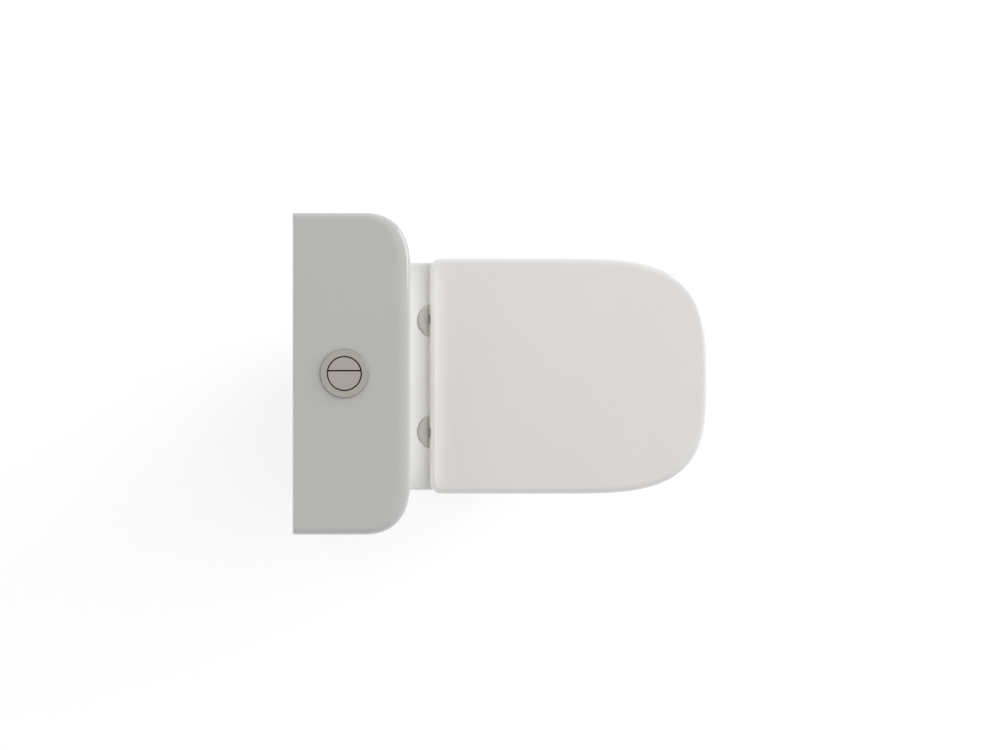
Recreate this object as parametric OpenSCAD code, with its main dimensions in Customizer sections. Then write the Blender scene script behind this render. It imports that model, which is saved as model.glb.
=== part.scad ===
// Close coupled toilet: pan, cistern with dual flush, and wrap-over soft-close seat.
// Millimetres. X runs across, the wall is on the +Y side, Z is up and the floor is z = 0.

/* [Overall] */
// Depth from the wall to the front of the seat lid
depth = 640; // [560:5:780]
// Height of the pan's rim above the floor
rim_h = 400; // [370:5:480]
// Height of the cistern's walls
cistern_h = 361; // [300:1:440]
// Width of the cistern lid
lid_w = 398; // [380:1:480]
// Depth of the cistern lid
lid_d = 146; // [140:1:180]
// Width of the seat lid
seat_w = 365; // [330:1:440]

/* [Pan] */
// Thickness of the china
china = 11; // [9:0.5:14]
// Width of the rim
rim_w = 361; // [330:1:440]
// Overhang of the seat lid past the front of the rim
rim_setback = 12; // [8:1:30]
// Gap between the wall and the pan's back edge
pan_gap = 8; // [4:1:20]
// Width of the shelf that carries the cistern
shelf_w = 200; // [180:1:210]
// Thickness of the shelf and of the deck
shelf_t = 38; // [30:1:46]
// Width of the foot
foot_w = 230; // [210:1:280]
// Distance from the wall to the back of the foot
foot_back = 150; // [130:1:180]
// Setback of the foot's front from the rim's front
foot_setback = 82; // [50:1:110]
// Width of the bowl at the rim
bowl_w = 276; // [250:1:290]
// Distance from the wall to the back of the bowl
bowl_back = 264; // [255:1:290]
// Width of the rim in front of the bowl
rim_front = 38; // [30:1:60]

/* [Outlet and trap] */
// Outside diameter of the outlet spigot
spigot_dia = 102; // [90:1:110]
// Bore of the outlet spigot
outlet_bore = 84; // [70:1:88]
// Height of the outlet's centre above the floor
outlet_h = 185; // [175:1:200]
// Gap between the wall and the end of the spigot
spigot_gap = 15; // [10:1:40]
// Length of the spigot up to its shoulder
spigot_l = 90; // [70:1:95]
// Bore of the trap
trap_bore = 74; // [60:1:80]

/* [Cistern] */
// Overhang of the cistern lid past the cistern's sides
lid_lap = 9; // [6:0.5:12]
// Inward slope of each side of the cistern from top to bottom
cistern_slope = 19; // [10:1:24]
// Thickness of the cistern's walls
cistern_wall = 9; // [8:0.5:11]
// Thickness of the cistern's floor
cistern_floor = 12; // [10:0.5:16]
// Gap between the cistern and the shelf
cistern_gap = 3; // [2:0.5:6]
// Height of the cistern lid
lid_h = 36; // [30:1:46]
// Thickness of the cistern lid's top
lid_top = 9; // [8:0.5:12]
// Rounding of the cistern lid's top edge
lid_round = 12; // [6:1:16]
// Distance from the wall to the flush valve and the cistern bolts
valve_back = 70; // [66:1:76]
// Distance from the centre line to each cistern bolt
bolt_x = 75; // [70:1:82]
// Diameter of the cistern bolts
bolt_dia = 8; // [6:1:10]

/* [Flush buttons] */
// Distance from the wall to the centre of the buttons
button_back = 63.6; // [60:0.2:70]
// Outside diameter of the bezel
bezel_dia = 60; // [54:1:70]
// Diameter across the two buttons
button_dia = 41; // [36:0.2:46]
// Gap between a button and what is beside it
button_gap = 0.9; // [0.4:0.1:1]
// Distance of the dividing line from the centre line
button_split = 3.5; // [0:0.5:6]
// Diameter of the push rods
rod_dia = 7; // [5:0.5:8]

/* [Flush valve] */
// Outside diameter of the valve's tail
valve_tail_dia = 58; // [50:1:62]
// Bore of the valve's tail
valve_bore = 50; // [40:1:54]
// Diameter of the valve's flange
valve_flange_dia = 80; // [74:1:84]
// Outside diameter of the valve's tower
tower_dia = 72; // [68:1:76]
// Height of the tower above the flange
tower_h = 177; // [140:1:190]
// Diameter of the overflow tube
overflow_dia = 24; // [20:1:28]
// Outside diameter of the cistern-to-pan seal
doughnut_dia = 100; // [96:1:104]
// Height of the cistern-to-pan seal once it is squeezed
doughnut_h = 25; // [20:1:30]

/* [Fill valve] */
// Distance from the centre line to the fill valve
fill_x = 132; // [130:1:136]
// Distance from the wall to the fill valve
fill_back = 64; // [60:1:70]
// Diameter of the half inch threaded tail
tail_dia = 20.9; // [18:0.1:24]
// Length of the threaded tail
tail_l = 40; // [30:1:60]
// Diameter of the fill valve's shank where it passes through the cistern
shank_dia = 22.4; // [20:0.1:26]
// Height of the fill valve's column above the cistern's floor
column_h = 225; // [180:1:240]
// Diameter of the float
float_dia = 66; // [50:1:70]
// Height of the float
float_h = 60; // [40:1:80]
// Travel of the float
float_travel = 12; // [8:1:16]
// Length of the lever between its pin and the float's link
lever_l = 45; // [40:1:46]

/* [Seat] */
// Distance from the wall to the back edge of the seat
seat_back = 212; // [206:1:220]
// Distance from the wall to the hinge's axis
hinge_back = 228; // [224:1:232]
// Height of the hinge's axis above the rim
hinge_h = 24; // [22:0.5:28]
// Distance from the centre line to each hinge
hinge_x = 88; // [84:1:92]
// Diameter of the hinge's spindle
spindle_dia = 8; // [6:0.5:9]
// Radial clearance of the spindle in a moving knuckle
spindle_fit = 0.05; // [0.02:0.01:0.1]
// Outside diameter of the knuckles
knuckle_dia = 18; // [16:0.5:19]
// Length of the fixed knuckle
knuckle_l = 20; // [16:1:24]
// Length of each moving knuckle
moving_knuckle_l = 13; // [10:1:15]
// Diameter of the cover disc
disc_dia = 54.6; // [48:0.2:60]
// Thickness of the cover disc
disc_t = 4; // [3:0.5:4.5]
// Distance from the wall to the centre of the cover disc
disc_back = 221.6; // [218:0.2:226]
// Height of the seat ring's underside above the rim
ring_lift = 5; // [4:0.5:8]
// Thickness of the seat ring
ring_t = 21; // [16:1:24]
// Width of the opening in the seat ring
ring_hole_w = 222; // [200:1:240]
// Width of the ring behind its opening
ring_rear = 44; // [30:1:60]
// Width of the ring in front of its opening
ring_nose = 72; // [50:1:90]
// Gap between the ring and the lid's skirt
skirt_gap = 1.5; // [1:0.25:3]
// Thickness of the seat lid
shell_t = 4; // [3:0.5:5]
// Height of the lid's top above the rim
seat_lid_h = 45; // [44:1:55]
// Height of the lid's skirt above the rim
skirt_h = 12; // [8:1:16]

/* [Floor fixings] */
// Distance from the wall to the floor fixings
bracket_back = 262; // [240:1:320]
// Distance between the two floor screw holes
bracket_span = 156; // [140:1:170]
// Diameter of the floor screw holes
floor_hole_dia = 7; // [6:0.5:9]
// Height of the side screws above the floor
side_screw_h = 34; // [28:1:44]
// Diameter of the side screw caps
cap_dia = 18; // [14:1:24]

/* [Hidden] */
$fn = 48;
eps = 0.01;
white = [0.9, 0.9, 0.89];
plastic = [0.95, 0.95, 0.93];
steel = [0.72, 0.71, 0.69];
rubber = [0.13, 0.13, 0.14];
brass = [0.8, 0.65, 0.35];

// A distance from the wall, as a place along Y
function y(back) = depth / 2 - back;

// Heights of the main levels
shelf_under = rim_h - shelf_t;
cistern_z = rim_h + cistern_gap;
floor_z = cistern_z + cistern_floor;
lid_z = cistern_z + cistern_h;
top_z = lid_z + lid_h;
hinge_z = rim_h + hinge_h;
front_back = depth - rim_setback;

// ---- Outlines and lofts ----

// Half of an outline, from the front centre round the right side to the back.
// The nose is a superellipse of depth nose and power e. The side steps in to half width neck
// over the length step around the distance shoulder, and the back corner has radius r.
function half_outline(hw, front, back, nose, e, neck, shoulder, r, step = 40) = concat(
    [for (k = [0:12]) let (t = 90 - 7.5 * k)
        [hw * pow(cos(t), 2 / e), y(front) + nose * (1 - pow(sin(t), 2 / e))]],
    [for (k = [0:4])
        [hw + (neck - hw) * (1 - cos(45 * k)) / 2, y(shoulder) + step * (k / 4 - 0.5)]],
    [for (k = [0:4]) [neck - r + r * cos(22.5 * k), y(back) - r + r * sin(22.5 * k)]]);

// The whole outline, anticlockwise from the front; a point on the centre line isn't repeated
function whole(half) = concat(half,
    [for (k = [len(half) - 1:-1:0]) if (half[k][0] > eps) [-half[k][0], half[k][1]]]);

// A box outline with superelliptic front corners of width a and depth b, and small back corners r
function front_round(hw, front, back, a, b, r, e = 2.5) = whole(concat(
    [for (k = [0:8]) let (t = 90 - 11.25 * k)
        [hw - a + a * pow(cos(t), 2 / e), y(front) + b * (1 - pow(sin(t), 2 / e))]],
    [for (k = [0:3]) [hw - r + r * cos(30 * k), y(back) - r + r * sin(30 * k)]]));

// A D outline for the seat, with rear corners of radius r
function d_outline(hw, front, back, nose, e, r) = whole(concat(
    [for (k = [0:14]) let (t = 90 - 90 / 14 * k)
        [hw * pow(cos(t), 2 / e), y(front) + nose * (1 - pow(sin(t), 2 / e))]],
    [for (k = [0:4]) [hw - r + r * cos(22.5 * k), y(back) - r + r * sin(22.5 * k)]]));

// An oval outline of power e
function oval(hw, front, back, e) = [for (k = [0:35])
    let (t = 10 * k - 90, c = cos(t), s = sin(t), mid = (y(front) + y(back)) / 2,
         half = (y(back) - y(front)) / 2)
    [hw * sign(c) * pow(abs(c), 2 / e), mid + half * sign(s) * pow(abs(s), 2 / e)]];

function at_height(outline, z) = [for (p = outline) [p[0], p[1], z]];

// Solid through a stack of rings with equal numbers of points, lowest ring first
module loft(rings) {
    n = len(rings[0]);
    top = n * (len(rings) - 1);
    sides = [for (j = [0:len(rings) - 2], i = [0:n - 1])
        let (a = j * n + i, b = j * n + (i + 1) % n) each [[a, a + n, b + n], [a, b + n, b]]];
    polyhedron(concat([for (r = rings) each r]),
        concat([[for (i = [0:n - 1]) i]], sides, [[for (i = [n - 1:-1:0]) top + i]]));
}

module both_sides() {
    children();
    mirror([1, 0, 0]) children();
}

// Upright cylinder or tube at a place given by x and the distance from the wall
module post(x, back, z, h, d, bore = 0) {
    translate([x, y(back), z]) difference() {
        cylinder(h = h, d = d);
        if (bore > 0) translate([0, 0, -1]) cylinder(h = h + 2, d = bore);
    }
}

// Cylinder along Y, from the distance far to the distance near
module along_y(x, z, far, near, d) {
    translate([x, y(far), z]) rotate([-90, 0, 0]) cylinder(h = far - near, d = d);
}

// Cylinder along X on the hinge's axis
module along_hinge(x, l, d) {
    translate([x, y(hinge_back), hinge_z]) rotate([0, 90, 0]) cylinder(h = l, d = d);
}

// ---- Pan ----

rim_hw = rim_w / 2;
foot_hw = foot_w / 2;
shelf_hw = shelf_w / 2;
foot_front = front_back - foot_setback;
straight_h = 60;
body_h = shelf_under - straight_h;

// Outline of the pan at a share s of the way up from the straight foot to the deck
function pan_body(s, inset) =
    let (hw = foot_hw + (rim_hw - 5 - foot_hw) * pow(s, 1.7),
         front = foot_front + (front_back - 6 - foot_front) * pow(s, 1.3))
    at_height(whole(half_outline(hw - inset, front - inset, foot_back - 30 * s + inset,
        165 + 60 * s - inset, 2.6, foot_hw - 12 * s - inset, foot_back + 70, 12)),
        straight_h + body_h * s);

function pan_foot(z, inset) = at_height([for (p = pan_body(0, inset)) [p[0], p[1]]], z);

function deck_ring(z, inset) = at_height(whole(half_outline(rim_hw - inset, front_back - inset,
    pan_gap + inset, 226, 3, shelf_hw - inset, valve_back + 70, 14)), z);

bowl_front = front_back - rim_front;
sump_back = bowl_back + 62;
sump_z = 86;
bowl_split_z = 235;

// The bowl narrows from the rim to the sump, by the share s of its depth
function bowl_ring(s, grow) = at_height(oval((bowl_w / 2 - 36) * cos(90 * s) + 36 + grow,
    sump_back + 40 + (bowl_front - sump_back - 40) * pow(cos(90 * s), 0.9) + grow,
    sump_back - 40 - (sump_back - 40 - bowl_back) * cos(90 * s) - grow, 2.3),
    rim_h - (rim_h - sump_z - 30) * pow(s, 1.15));

module bowl_space(grow) {
    loft([for (k = [8:-1:0]) bowl_ring(k / 8, grow),
        [for (p = bowl_ring(0, grow)) [p[0], p[1], rim_h + 5]]]);
}

module trap_space(grow, end) {
    rise = outlet_h - sump_z;
    run = sump_back - foot_back - 60;
    translate([0, y(sump_back), sump_z]) cylinder(h = 60, d = trap_bore + 2 * grow);
    translate([0, y(sump_back), sump_z]) sphere(d = trap_bore + 2 * grow);
    translate([0, y(sump_back), sump_z]) rotate([-atan2(run, rise), 0, 0])
        cylinder(h = norm([rise, run]), d = trap_bore + 2 * grow);
    translate([0, y(sump_back - run), outlet_h]) sphere(d = outlet_bore + 2 * grow);
    along_y(0, outlet_h, sump_back - run, end, outlet_bore + 2 * grow);
}

// Duct from the cistern's seal to the back of the bowl
duct_bore = 46;
duct_dia = duct_bore + 2 * china;
shoulder_dia = spigot_dia + 12;
duct_z = shelf_under - 10;
recess_dia = doughnut_dia + 4;
recess_z = cistern_z - doughnut_h;
hinge_hole_dia = 14;

module duct(d, near, far) {
    along_y(0, duct_z, far, near, d);
}

// The water's way from the cistern's seal down and forward into the bowl
module duct_way() {
    duct(duct_bore, valve_back, bowl_back + 24);
    translate([0, y(valve_back), duct_z]) sphere(d = duct_bore);
    post(0, valve_back, duct_z, shelf_t + 12, duct_bore);
}

// Shelf, deck and rim, with a rolled top edge
module pan_deck() {
    color(white) difference() {
        loft([deck_ring(shelf_under, 4), deck_ring(shelf_under + 2, 1.2),
            deck_ring(shelf_under + 6, 0), deck_ring(rim_h - 7, 0), deck_ring(rim_h - 2, 2),
            deck_ring(rim_h, 7)]);
        bowl_space(0);
        duct_way();
        post(0, valve_back, recess_z - 12, 20, valve_tail_dia + 3);
        post(0, valve_back, recess_z, doughnut_h, recess_dia);
        both_sides() {
            post(bolt_x, valve_back, shelf_under - 5, shelf_t + 10, bolt_dia + 4);
            post(hinge_x, disc_back, shelf_under - 5, shelf_t + 10, hinge_hole_dia);
        }
    }
}

// Shell of the bowl between two heights
module bowl_shell(low, high) {
    color(white) difference() {
        intersection() {
            bowl_space(china);
            translate([-rim_w, y(depth), low]) cube([2 * rim_w, depth, high - low]);
        }
        bowl_space(0);
        trap_space(0, spigot_gap - 1);
        duct_way();
    }
}

module pan_bowl() {
    bowl_shell(bowl_split_z, shelf_under);
}

module pan_sump() {
    bowl_shell(0, bowl_split_z);
}

// Flush duct under the deck
module pan_duct() {
    color(white) difference() {
        intersection() {
            union() {
                duct(duct_dia, valve_back, bowl_back);
                translate([0, y(valve_back), duct_z]) sphere(d = duct_dia);
            }
            translate([-rim_w, y(depth), 0]) cube([2 * rim_w, depth, shelf_under]);
        }
        bowl_space(china);
        duct_way();
    }
}

// Bend, rising trap and outlet spigot with its shoulder
module pan_trap() {
    color(white) difference() {
        union() {
            trap_space(china, foot_back);
            along_y(0, outlet_h, foot_back + 20, spigot_gap + spigot_l, shoulder_dia);
            along_y(0, outlet_h, foot_back, spigot_gap, spigot_dia);
        }
        bowl_space(china);
        trap_space(0, spigot_gap - 1);
    }
}

// Skirt and foot, which stand round the bowl and carry the deck
module pan_skirt() {
    color(white) difference() {
        loft([pan_foot(0, 1), pan_foot(2, 0), for (k = [0:6]) pan_body(k / 6, 0)]);
        loft([pan_foot(-1, china), for (k = [0:6]) pan_body(k / 6, china),
            [for (p = pan_body(1, china)) [p[0], p[1], shelf_under + 5]]]);
        along_y(0, outlet_h, foot_back + 20, 0, shoulder_dia);
        duct(duct_dia, valve_back, foot_back + 20);
        both_sides() translate([foot_hw - 20, y(bracket_back), side_screw_h])
            rotate([0, 90, 0]) cylinder(h = 30, d = side_hole_dia);
    }
}

// ---- Floor fixings ----

side_hole_dia = 8;
bracket_t = 5;
bracket_l = 44;
bracket_face = foot_hw - china;
side_screw_dia = 5;

module floor_brackets() {
    color(plastic) both_sides() difference() {
        union() {
            translate([bracket_face - bracket_t, y(bracket_back) - bracket_l / 2, 0])
                cube([bracket_t, bracket_l, side_screw_h + 16]);
            translate([bracket_span / 2 - 14, y(bracket_back) - bracket_l / 2, 0])
                cube([bracket_face - bracket_span / 2 + 14, bracket_l, bracket_t]);
        }
        post(bracket_span / 2, bracket_back, -1, bracket_t + 2, floor_hole_dia);
        translate([bracket_face - bracket_t - 1, y(bracket_back), side_screw_h])
            rotate([0, 90, 0]) cylinder(h = bracket_t + 2, d = side_screw_dia);
    }
}

module side_screws() {
    color(steel) both_sides() translate([0, y(bracket_back), side_screw_h]) rotate([0, 90, 0]) {
        translate([0, 0, bracket_face - bracket_t - 14])
            cylinder(h = bracket_t + 14 + china, d = side_screw_dia);
        translate([0, 0, foot_hw]) cylinder(h = 1.2, d = side_screw_dia + 5);
    }
}

module screw_caps() {
    color(white) both_sides() translate([foot_hw, y(bracket_back), side_screw_h])
        rotate([0, 90, 0]) difference() {
            cylinder(h = 3.5, d1 = cap_dia, d2 = cap_dia - 3);
            translate([0, 0, -1]) cylinder(h = 2.4, d = side_screw_dia + 6);
        }
}

// ---- Cistern and its fixings ----

cistern_hw = lid_w / 2 - lid_lap;
cistern_front = lid_d - 8;
cistern_back = 5;
corner_a = 64;
corner_b = 56;

// Outline of the cistern at height z: sides and front slope, the back stays near the wall
function cistern_ring(z, inset) =
    let (s = min(1, (lid_z - z) / (cistern_h - 12)))
    at_height(front_round(cistern_hw - cistern_slope * s - inset,
        cistern_front - 12 * s - inset, cistern_back + s + inset, corner_a - inset,
        corner_b - inset, 5), z);

fill_hole_dia = shank_dia + 1.6;
valve_hole_dia = valve_tail_dia + 2;

module cistern() {
    color(white) difference() {
        loft([cistern_ring(cistern_z, 9), cistern_ring(cistern_z + 3, 4),
            cistern_ring(cistern_z + 12, 0), cistern_ring(lid_z, 0)]);
        loft([cistern_ring(floor_z, cistern_wall + 6), cistern_ring(floor_z + 8, cistern_wall),
            cistern_ring(lid_z + 5, cistern_wall)]);
        post(0, valve_back, cistern_z - 1, cistern_floor + 2, valve_hole_dia);
        post(-fill_x, fill_back, cistern_z - 1, cistern_floor + 2, fill_hole_dia);
        both_sides() post(bolt_x, valve_back, cistern_z - 1, cistern_floor + 2, bolt_dia + 3);
    }
}

module doughnut_seal() {
    color(rubber) post(0, valve_back, recess_z, doughnut_h, doughnut_dia, valve_nut_dia + 2);
}

seal_t = 4;
washer_t = 2;
washer_dia = 24;
bolt_top = floor_z + seal_t + washer_t;
nut_top = shelf_under - seal_t - washer_t;
wing_nut_h = 10;

module cistern_bolts() {
    color(steel) both_sides() {
        post(bolt_x, valve_back, nut_top - wing_nut_h - 6, bolt_top - nut_top + wing_nut_h + 7,
            bolt_dia);
        translate([bolt_x, y(valve_back), bolt_top]) cylinder(h = 5.5, d = 15, $fn = 6);
    }
}

// Rubber seals inside the cistern and under the shelf
module bolt_seals() {
    color(rubber) both_sides() {
        post(bolt_x, valve_back, floor_z, seal_t, washer_dia + 4, bolt_dia);
        post(bolt_x, valve_back, shelf_under - seal_t, seal_t, washer_dia, bolt_dia);
    }
}

module bolt_washers() {
    color(steel) both_sides() {
        post(bolt_x, valve_back, floor_z + seal_t, washer_t, washer_dia, bolt_dia);
        post(bolt_x, valve_back, nut_top, washer_t, washer_dia - 2, bolt_dia);
    }
}

module wing_nuts() {
    color(steel) both_sides() translate([bolt_x, y(valve_back), nut_top - wing_nut_h])
        difference() {
            union() {
                cylinder(h = wing_nut_h, d = 16);
                for (side = [-1, 1]) translate([-1.5, side * 12 - 6, -3]) cube([3, 12, 12]);
            }
            translate([0, 0, -4]) cylinder(h = wing_nut_h + 5, d = bolt_dia);
        }
}

// ---- Flush valve ----

valve_washer_t = 3;
flange_z = floor_z + valve_washer_t;
flange_t = 5;
flange_top = flange_z + flange_t;
seat_z = flange_top + 4;
seal_z = seat_z;
seal_thick = 3;
valve_nut_dia = 72;
valve_nut_h = 12;
tower_z = flange_top;
tower_top = tower_z + tower_h;
tower_wall = 3;
socket_top = lid_z - 34;
bridge_t = 14;
socket_h = 26;
full_rod_x = -9;
half_rod_x = 12.5;

module flush_valve_base() {
    color(plastic) translate([0, y(valve_back), 0]) difference() {
        union() {
            translate([0, 0, recess_z - 6])
                cylinder(h = flange_top - recess_z + 6, d = valve_tail_dia);
            translate([0, 0, flange_z]) cylinder(h = flange_t, d = valve_flange_dia);
            translate([0, 0, flange_z]) cylinder(h = seat_z - flange_z, d = valve_tail_dia - 2);
        }
        translate([0, 0, recess_z - 7])
            cylinder(h = seat_z - recess_z + 8, d = valve_bore);
    }
}

module flush_valve_washer() {
    color(rubber) post(0, valve_back, floor_z, valve_washer_t, valve_flange_dia - 2,
        valve_tail_dia);
}

module flush_valve_nut() {
    color(plastic) translate([0, y(valve_back), cistern_z - valve_nut_h]) difference() {
        cylinder(h = valve_nut_h, d = valve_nut_dia, $fn = 12);
        translate([0, 0, -1]) cylinder(h = valve_nut_h + 2, d = valve_tail_dia);
    }
}

// Open cage that guides the overflow tube and keeps the water's way to the seat clear
module flush_valve_tower() {
    color(plastic) translate([0, y(valve_back), tower_z]) difference() {
        cylinder(h = tower_h, d = tower_dia);
        translate([0, 0, -1]) cylinder(h = tower_h - 3, d = tower_dia - 2 * tower_wall);
        cylinder(h = tower_h + 1, d = overflow_dia + 1);
        for (turn = [0, 90]) rotate([0, 0, turn]) {
            translate([-tower_dia / 2 - 1, -18, 6]) cube([tower_dia + 2, 36, 60]);
            translate([-tower_dia / 2 - 1, -12, 84]) cube([tower_dia + 2, 24, tower_h - 104]);
        }
    }
}

// Bridge over the overflow tube, with a socket for each push rod
module flush_valve_head() {
    bridge_z = socket_top - socket_h - bridge_t;
    rods_y = y(button_back) - y(valve_back);
    color(plastic) translate([0, y(valve_back), 0]) difference() {
        union() {
            for (side = [-1, 1])
                translate([side * 26 - 3, -12, tower_top]) cube([6, 24, bridge_z - tower_top]);
            translate([-29, -15, bridge_z]) cube([58, 34, bridge_t]);
            for (x = [full_rod_x, half_rod_x])
                translate([x, rods_y, bridge_z]) cylinder(h = socket_h + bridge_t, d = rod_dia + 6);
        }
        for (x = [full_rod_x, half_rod_x])
            translate([x, rods_y, bridge_z + 6]) cylinder(h = socket_h + bridge_t, d = rod_dia + 1.5);
    }
}

// The overflow tube is also the plunger that lifts the seal
module overflow_tube() {
    color(plastic) translate([0, y(valve_back), seal_z]) difference() {
        union() {
            cylinder(h = tower_top + 36 - seal_z, d = overflow_dia);
            translate([0, 0, seal_thick]) cylinder(h = 4, d = valve_tail_dia);
        }
        translate([0, 0, -1]) cylinder(h = tower_top + 40 - seal_z, d = overflow_dia - 4);
    }
}

module flush_seal() {
    color(rubber) post(0, valve_back, seal_z, seal_thick, valve_tail_dia + 2, overflow_dia);
}

// ---- Fill valve ----

fill_washer_t = 3;
fill_nut_h = 9;
shank_z = cistern_z - fill_nut_h - 3;
column_dia = 28;
column_z = floor_z + fill_washer_t;
column_top = column_z + column_h;
head_h = 30;
float_z = column_top - 18 - float_travel - float_h;
pin_back = fill_back + 16;
pin_x = -fill_x - 18;
pin_z = column_top + 15;
pin_dia = 4;
rest_tilt = asin(float_travel / 2 / lever_l);
link_x = pin_x + lever_l * cos(rest_tilt);
link_dia = 4;
lever_t = 4;
lever_w = 5;

module fill_valve_tail() {
    color(brass) {
        post(-fill_x, fill_back, shank_z - tail_l, tail_l, tail_dia, 12);
        post(-fill_x, fill_back, shank_z, column_z - shank_z, shank_dia, 12);
    }
}

module fill_valve_washer() {
    color(rubber) post(-fill_x, fill_back, floor_z, fill_washer_t, column_dia + 6, shank_dia);
}

module fill_valve_nut() {
    color(plastic) translate([-fill_x, y(fill_back), cistern_z - fill_nut_h]) difference() {
        cylinder(h = fill_nut_h, d = 34, $fn = 6);
        translate([0, 0, -1]) cylinder(h = fill_nut_h + 2, d = shank_dia);
    }
}

module fill_valve_column() {
    color(plastic) {
        post(-fill_x, fill_back, column_z, 5, column_dia + 6, 12);
        post(-fill_x, fill_back, column_z + 5, column_h - 5, column_dia, 12);
    }
}

module fill_valve_head() {
    color(rubber) difference() {
        union() {
            post(-fill_x, fill_back, column_top, head_h - 8, 27);
            post(-fill_x, fill_back, column_top + head_h - 8, 8, 22);
            translate([pin_x - 5, y(fill_back) - 9, pin_z - 6]) cube([12, 18, 12]);
        }
        along_y(pin_x, pin_z, fill_back + 12, fill_back - 12, pin_dia);
    }
}

module lever_pin() {
    color(steel) along_y(pin_x, pin_z, pin_back + 4, fill_back - 6, pin_dia);
}

module fill_valve_lever() {
    color(plastic) translate([pin_x, y(pin_back), pin_z]) rotate([0, rest_tilt, 0])
        difference() {
            union() {
                rotate([90, 0, 0]) translate([0, 0, -lever_t / 2]) cylinder(h = lever_t, d = 10);
                translate([0, -lever_t / 2, -lever_w / 2]) cube([lever_l, lever_t, lever_w]);
                translate([lever_l, 0, -lever_w / 2]) cylinder(h = lever_w, d = link_dia + 7);
            }
            rotate([90, 0, 0]) translate([0, 0, -lever_t])
                cylinder(h = 2 * lever_t, d = pin_dia + 2 * spindle_fit);
            translate([lever_l, 0, -lever_w]) cylinder(h = 2 * lever_w, d = link_dia + 3);
        }
}

module fill_float() {
    color(plastic) post(-fill_x, fill_back, float_z, float_h, float_dia, column_dia + 2);
}

// Rod that carries the float's rise to the lever between two collars
module float_link() {
    link_z = pin_z - float_travel / 2;
    color(steel) {
        post(link_x, pin_back, float_z + float_h, link_z + 12 - float_z - float_h, link_dia);
        post(link_x, pin_back, link_z - lever_w / 2 - 3.5, 2, link_dia + 5);
        post(link_x, pin_back, link_z + lever_w / 2 + 1.5, 2, link_dia + 5);
    }
}

// ---- Cistern lid and flush buttons ----

lid_rim = lid_lap + cistern_wall + 3;
bezel_t = 4;
bezel_edge = 1.2;
sleeve_dia = button_dia + 9;
housing_floor_z = top_z - 28;
housing_floor_t = 3;
button_t = 7;
button_top = top_z + 3.2;
button_z = button_top - button_t;

// Outline of the cistern lid, drawn in by inset; its back face is the distance back from the wall
function lid_ring(z, inset, back) = at_height(front_round(lid_w / 2 - inset, lid_d - inset, back,
    70 - inset, 60 - inset, 3), z);

module cistern_lid() {
    color(white) difference() {
        union() {
            loft([lid_ring(lid_z, 2, 0.5), lid_ring(lid_z + 3, 0, 0),
                lid_ring(top_z - lid_round, 0, 0), lid_ring(top_z - lid_round * 0.5, 1.6, 0.2),
                lid_ring(top_z - lid_round * 0.15, 5.5, 0.8), lid_ring(top_z, 11, 2)]);
            loft([lid_ring(lid_z - 6, lid_rim, 17), lid_ring(lid_z + 1, lid_rim, 17)]);
        }
        loft([lid_ring(lid_z - 7, lid_rim + 7, 24), lid_ring(top_z - lid_top, lid_rim + 7, 24)]);
        post(0, button_back, top_z - lid_top - 1, lid_top + 2, sleeve_dia + 3);
    }
}

module button_housing() {
    color(steel) translate([0, y(button_back), 0]) difference() {
        union() {
            rotate_extrude($fn = 72) polygon([[0, top_z], [bezel_dia / 2, top_z],
                [bezel_dia / 2, top_z + bezel_t - bezel_edge],
                [bezel_dia / 2 - bezel_edge, top_z + bezel_t], [0, top_z + bezel_t]]);
            translate([0, 0, housing_floor_z])
                cylinder(h = top_z - housing_floor_z + 1, d = sleeve_dia);
        }
        translate([0, 0, housing_floor_z + housing_floor_t])
            cylinder(h = 40, d = button_dia + 2 * button_gap);
        for (x = [full_rod_x, half_rod_x]) translate([x, 0, housing_floor_z - 1])
            cylinder(h = 10, d = rod_dia + 1);
    }
}

module button_nut() {
    color(plastic) translate([0, y(button_back), top_z - lid_top - 8]) difference() {
        cylinder(h = 8, d = sleeve_dia + 15, $fn = 12);
        translate([0, 0, -1]) cylinder(h = 10, d = sleeve_dia);
    }
}

// Half of the round button, on one side of the dividing line
module button_half(side) {
    color(steel) translate([0, y(button_back), button_z]) intersection() {
        cylinder(h = button_t, d = button_dia, $fn = 72);
        translate([side > 0 ? button_split + button_gap : -button_dia, -button_dia, 0])
            cube([side > 0 ? button_dia : button_dia + button_split - button_gap,
                2 * button_dia, button_t]);
    }
}

module full_flush_button() {
    button_half(-1);
}

module half_flush_button() {
    button_half(1);
}

module push_rod(x) {
    color(plastic) post(x, button_back, socket_top - 12, button_z - socket_top + 12, rod_dia);
}

module full_flush_rod() {
    push_rod(full_rod_x);
}

module half_flush_rod() {
    push_rod(half_rod_x);
}

// Helical spring round a push rod, swept along its own centre line
wire_dia = 1;
coil_r = rod_dia / 2 + 1.2;
spring_turns = 5;

module button_spring(x) {
    low = housing_floor_z + housing_floor_t + wire_dia / 2 + 0.1;
    high = button_z - wire_dia / 2 - 0.1;
    steps = spring_turns * 12;
    rings = [for (k = [0:steps]) let (a = 30 * k, z = low + (high - low) * k / steps)
        [for (s = [0:5]) let (r = coil_r + wire_dia / 2 * cos(60 * s))
            [r * cos(a), r * sin(a), z - wire_dia / 2 * sin(60 * s)]]];
    color(steel) translate([x, y(button_back), 0]) loft(rings);
}

module full_flush_spring() {
    button_spring(full_rod_x);
}

module half_flush_spring() {
    button_spring(half_rod_x);
}

// ---- Hinges ----

post_dia = 10;
stud_dia = 6;
plug_l = 34;
cone_l = 9;
spindle_l = knuckle_l + 2 * moving_knuckle_l + 3;
side_play = 0.5;

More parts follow.
